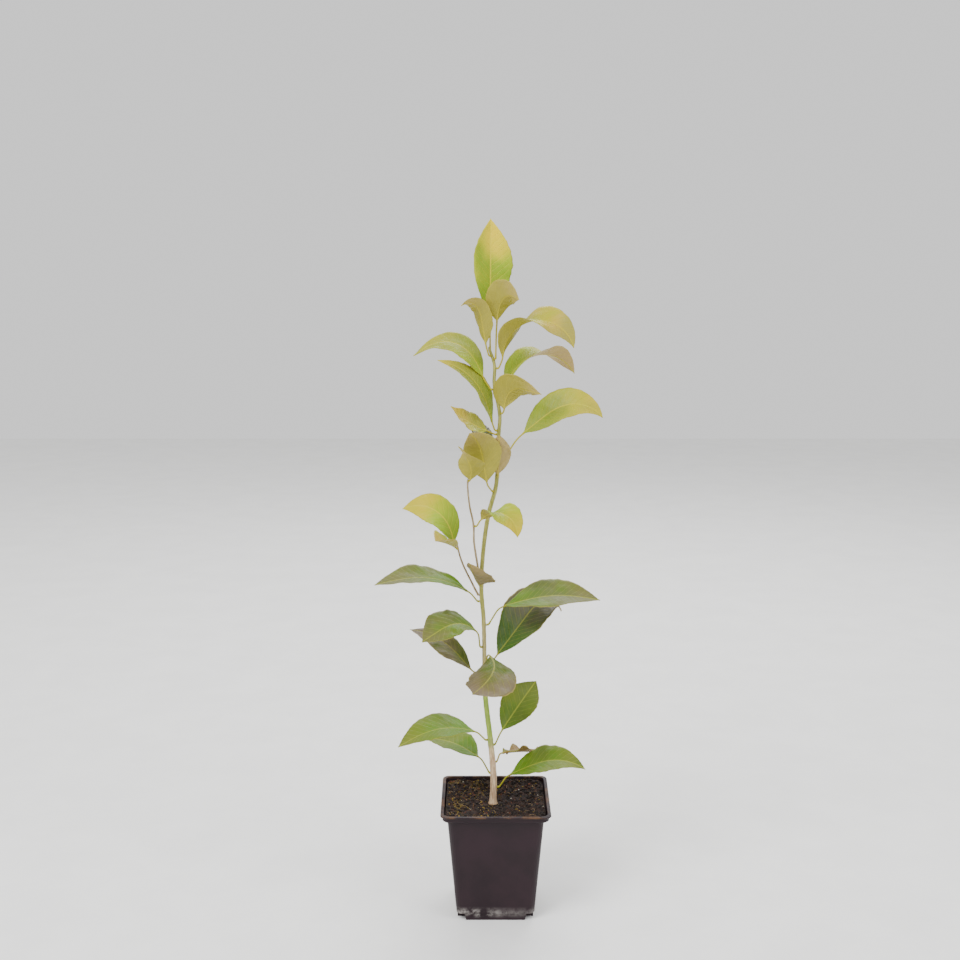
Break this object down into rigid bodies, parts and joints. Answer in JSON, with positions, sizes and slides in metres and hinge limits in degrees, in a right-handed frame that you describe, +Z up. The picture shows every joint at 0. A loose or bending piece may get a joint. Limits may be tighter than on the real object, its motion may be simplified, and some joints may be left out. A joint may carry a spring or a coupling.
{
  "type": "potted lemon tree",
  "caption": "Young lemon tree with single glossy leaves on one slender stem with side shoots, in a square plastic nursery pot filled with soil.",
  "frame": {"origin": "middle of the pot's flat underside, at the level of the ground it stands on", "axes": "+Z up, +X to the right and +Y to the back as seen in the source picture"},
  "size_m": [0.1828, 0.1124, 0.5705],
  "materials": {
    "pot": "satin",
    "soil": "rough",
    "main_stem": "rough",
    "shoot_left": "rough",
    "shoot_middle": "rough",
    "leaf_01": "satin",
    "leaf_02": "satin",
    "leaf_03": "satin",
    "leaf_04": "satin",
    "leaf_05": "satin",
    "leaf_06": "satin",
    "leaf_07": "satin",
    "leaf_08": "satin",
    "leaf_09": "satin",
    "leaf_10": "satin",
    "leaf_11": "satin",
    "leaf_12": "satin",
    "leaf_13": "satin",
    "leaf_14": "satin",
    "leaf_15": "satin",
    "leaf_16": "satin",
    "leaf_17": "satin",
    "leaf_18": "satin",
    "leaf_19": "satin",
    "leaf_20": "satin",
    "leaf_21": "satin",
    "leaf_22": "satin",
    "leaf_23": "satin",
    "leaf_24": "satin",
    "leaf_25": "satin",
    "leaf_26": "satin",
    "leaf_27": "satin",
    "leaf_28": "satin",
    "leaf_29": "satin"
  },
  "bodies": {
    "root": {"pot": "pot", "soil": "soil", "main_stem": "main_stem", "shoot_left": "shoot_left", "shoot_middle": "shoot_middle", "leaf_01": "leaf_01", "leaf_02": "leaf_02", "leaf_03": "leaf_03", "leaf_04": "leaf_04", "leaf_05": "leaf_05", "leaf_06": "leaf_06", "leaf_07": "leaf_07", "leaf_08": "leaf_08", "leaf_09": "leaf_09", "leaf_10": "leaf_10", "leaf_11": "leaf_11", "leaf_12": "leaf_12", "leaf_13": "leaf_13", "leaf_14": "leaf_14", "leaf_15": "leaf_15", "leaf_16": "leaf_16", "leaf_17": "leaf_17", "leaf_18": "leaf_18", "leaf_19": "leaf_19", "leaf_20": "leaf_20", "leaf_21": "leaf_21", "leaf_22": "leaf_22", "leaf_23": "leaf_23", "leaf_24": "leaf_24", "leaf_25": "leaf_25", "leaf_26": "leaf_26", "leaf_27": "leaf_27", "leaf_28": "leaf_28", "leaf_29": "leaf_29"}
  },
  "joints": []
}
